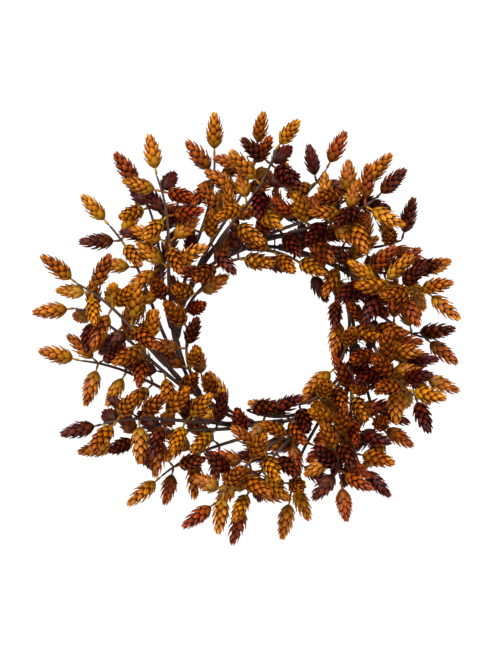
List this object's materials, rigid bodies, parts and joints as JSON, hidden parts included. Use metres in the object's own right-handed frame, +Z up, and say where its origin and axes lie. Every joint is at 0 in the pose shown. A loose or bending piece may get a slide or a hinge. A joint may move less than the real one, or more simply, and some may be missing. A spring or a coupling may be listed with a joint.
{
  "type": "harvest door wreath",
  "caption": "Round door wreath of autumn-coloured hop cones on wired twigs that swirl clockwise round a wire ring, with a folding wire hanging loop",
  "frame": {"origin": "hanging point: inside top of the wire loop, on the loop's middle plane", "axes": "+Z up, -Y out of the front of the wreath, +Y towards the door, +X to the right seen from the front"},
  "size_m": [0.5517, 0.1288, 0.5592],
  "materials": {
    "ring_wire": "brown-black paint on drawn wire",
    "loop_wire": "annealed black wire",
    "tie_wire": "brown plastic-coated florist's wire",
    "stem_brown": "ridged grey-brown moulded bark",
    "cone_gold": "satin moulded plastic, golden orange with a yellow-green base",
    "cone_rust": "satin moulded plastic, rust orange",
    "cone_maroon": "satin moulded plastic, maroon brown",
    "cone_tan": "satin moulded plastic, tan orange"
  },
  "bodies": {
    "wreath": {"base_ring": "ring_wire", "spray_stem_01": "stem_brown", "spray_stem_02": "stem_brown", "spray_stem_03": "stem_brown", "spray_stem_04": "stem_brown", "spray_stem_05": "stem_brown", "spray_stem_06": "stem_brown", "spray_stem_07": "stem_brown", "spray_stem_08": "stem_brown", "spray_stem_09": "stem_brown", "tie_wire_01": "tie_wire", "tie_wire_02": "tie_wire", "tie_wire_03": "tie_wire", "tie_wire_04": "tie_wire", "tie_wire_05": "tie_wire", "tie_wire_06": "tie_wire", "tie_wire_07": "tie_wire", "tie_wire_08": "tie_wire", "tie_wire_09": "tie_wire", "twig_back_01": "cone_gold", "twig_back_02": "cone_rust", "twig_back_03": "cone_maroon", "twig_back_04": "cone_gold", "twig_back_05": "cone_rust", "twig_back_06": "cone_maroon", "twig_back_07": "cone_tan", "twig_back_08": "cone_gold", "twig_back_09": "cone_rust", "twig_mid_01": "cone_maroon", "twig_mid_02": "cone_gold", "twig_mid_03": "cone_rust", "twig_mid_04": "cone_maroon", "twig_mid_05": "cone_tan", "twig_mid_06": "cone_gold", "twig_mid_07": "cone_rust", "twig_mid_08": "cone_maroon", "twig_mid_09": "cone_gold", "twig_inner_01": "cone_tan", "twig_inner_02": "cone_gold", "twig_inner_03": "cone_rust", "twig_inner_04": "cone_maroon", "twig_inner_05": "cone_gold", "twig_inner_06": "cone_rust", "twig_inner_07": "cone_maroon", "twig_inner_08": "cone_tan", "twig_inner_09": "cone_gold"},
    "hanging_loop": {"hanging_loop": "loop_wire"},
    "twig_front_01": {"twig_front_01": "cone_rust"},
    "twig_front_02": {"twig_front_02": "cone_maroon"},
    "twig_front_03": {"twig_front_03": "cone_tan"},
    "twig_front_04": {"twig_front_04": "cone_gold"},
    "twig_front_05": {"twig_front_05": "cone_rust"},
    "twig_front_06": {"twig_front_06": "cone_maroon"},
    "twig_front_07": {"twig_front_07": "cone_gold"},
    "twig_front_08": {"twig_front_08": "cone_rust"},
    "twig_front_09": {"twig_front_09": "cone_maroon"}
  },
  "joints": [
    {"name": "loop_fold", "type": "hinge", "parent": "wreath", "child": "hanging_loop", "pos_m": [0, 0, -0.033], "axis": [-1, 0, 0], "range_deg": [0, 160]},
    {"name": "front_bend_01", "type": "hinge", "parent": "wreath", "child": "twig_front_01", "pos_m": [0.10697, -0.04658, -0.06695], "axis": [-0.2608, 0, -0.9654], "range_deg": [0, 20]},
    {"name": "front_bend_02", "type": "hinge", "parent": "wreath", "child": "twig_front_02", "pos_m": [0.13429, -0.04658, -0.15476], "axis": [-0.7942, 0, -0.6077], "range_deg": [0, 20]},
    {"name": "front_bend_03", "type": "hinge", "parent": "wreath", "child": "twig_front_03", "pos_m": [0.09877, -0.04658, -0.23958], "axis": [-0.999, 0, 0.0436], "range_deg": [0, 20]},
    {"name": "front_bend_04", "type": "hinge", "parent": "wreath", "child": "twig_front_04", "pos_m": [0.01704, -0.04658, -0.28174], "axis": [-0.7019, 0, 0.7123], "range_deg": [0, 20]},
    {"name": "front_bend_05", "type": "hinge", "parent": "wreath", "child": "twig_front_05", "pos_m": [-0.07267, -0.04658, -0.26149], "axis": [0.0002, 0, 1], "range_deg": [0, 20]},
    {"name": "front_bend_06", "type": "hinge", "parent": "wreath", "child": "twig_front_06", "pos_m": [-0.12837, -0.04658, -0.18831], "axis": [0.6873, 0, 0.7263], "range_deg": [0, 20]},
    {"name": "front_bend_07", "type": "hinge", "parent": "wreath", "child": "twig_front_07", "pos_m": [-0.12401, -0.04658, -0.09645], "axis": [0.9953, 0, 0.0972], "range_deg": [0, 20]},
    {"name": "front_bend_08", "type": "hinge", "parent": "wreath", "child": "twig_front_08", "pos_m": [-0.06162, -0.04658, -0.02889], "axis": [0.843, 0, -0.5379], "range_deg": [0, 20]},
    {"name": "front_bend_09", "type": "hinge", "parent": "wreath", "child": "twig_front_09", "pos_m": [0.0296, -0.04658, -0.01724], "axis": [0.3587, 0, -0.9335], "range_deg": [0, 20]}
  ]
}
